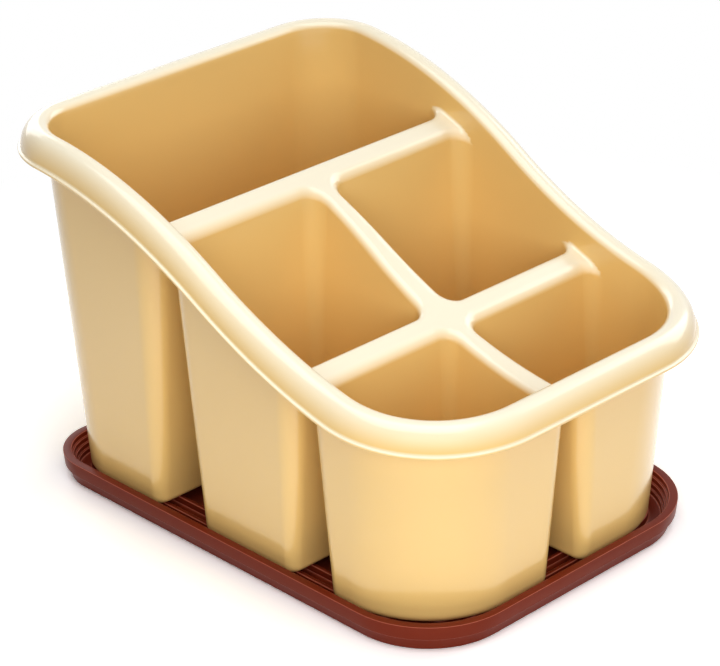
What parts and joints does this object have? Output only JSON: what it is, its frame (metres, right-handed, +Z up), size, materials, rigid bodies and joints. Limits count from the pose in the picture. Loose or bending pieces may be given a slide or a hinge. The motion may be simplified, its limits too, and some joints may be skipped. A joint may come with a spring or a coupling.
{
  "type": "cutlery drainer",
  "caption": "Table-top cutlery drainer: one moulding of open tapering cups under a sweeping rolled rim, lifting out of a shallow drip tray that catches the water.",
  "frame": {"origin": "middle of the footprint, on the underside of the drip tray", "axes": "+X across the drainer to its right, +Y from the low front to the tall rear, +Z up"},
  "size_m": [0.15, 0.192, 0.1258],
  "materials": {
    "cream_plastic": "gloss",
    "brown_plastic": "gloss"
  },
  "bodies": {
    "tray": {"drip_tray": "brown_plastic"},
    "drainer": {"rim": "cream_plastic", "rear_cup": "cream_plastic", "middle_left_cup": "cream_plastic", "middle_right_cup": "cream_plastic", "front_left_cup": "cream_plastic", "front_right_cup": "cream_plastic"}
  },
  "joints": [
    {"name": "drainer_lift", "type": "slide", "parent": "tray", "child": "drainer", "axis": [0, 0, 1], "range_m": [0, 0.06]}
  ]
}
